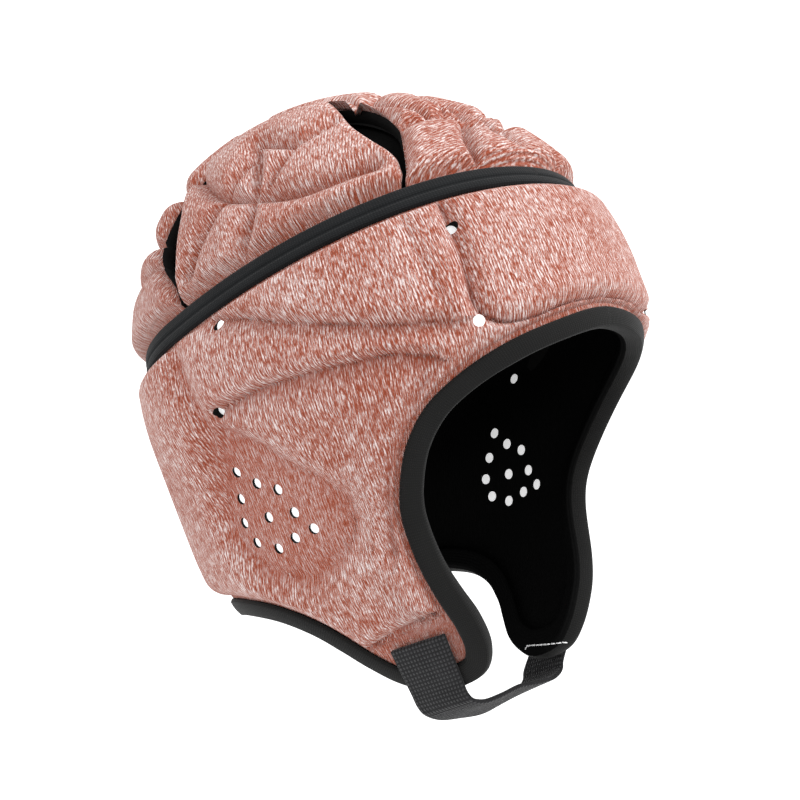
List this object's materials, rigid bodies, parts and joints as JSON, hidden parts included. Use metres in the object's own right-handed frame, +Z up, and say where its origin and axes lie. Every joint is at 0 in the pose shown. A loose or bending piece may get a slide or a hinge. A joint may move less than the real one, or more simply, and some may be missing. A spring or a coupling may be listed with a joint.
{
  "type": "rugby scrum cap",
  "caption": "Padded knit head guard with quilted crown, open vents, ear flaps with air holes, bound edges and an elastic chin strap.",
  "frame": {"origin": "midway between the ears, inside the head hollow", "axes": "+Z up to the crown, -Y the way the face looks, +X the wearer's left"},
  "size_m": [0.1894, 0.2202, 0.2571],
  "materials": {
    "knit": "heather knit over foam, pale pink with orange-red streaks",
    "lining": "matt black jersey",
    "tape": "matt black elastic tape with a lengthwise crease",
    "binding": "matt black folded binding",
    "webbing": "charcoal ribbed elastic webbing"
  },
  "bodies": {
    "root": {"side_panel": "knit", "side_lining": "lining", "crown_centre": "knit", "crown_side_right": "knit", "crown_side_left": "knit", "crown_lining": "lining", "crown_band": "tape", "edge_binding": "binding", "chin_strap": "webbing"}
  },
  "joints": []
}
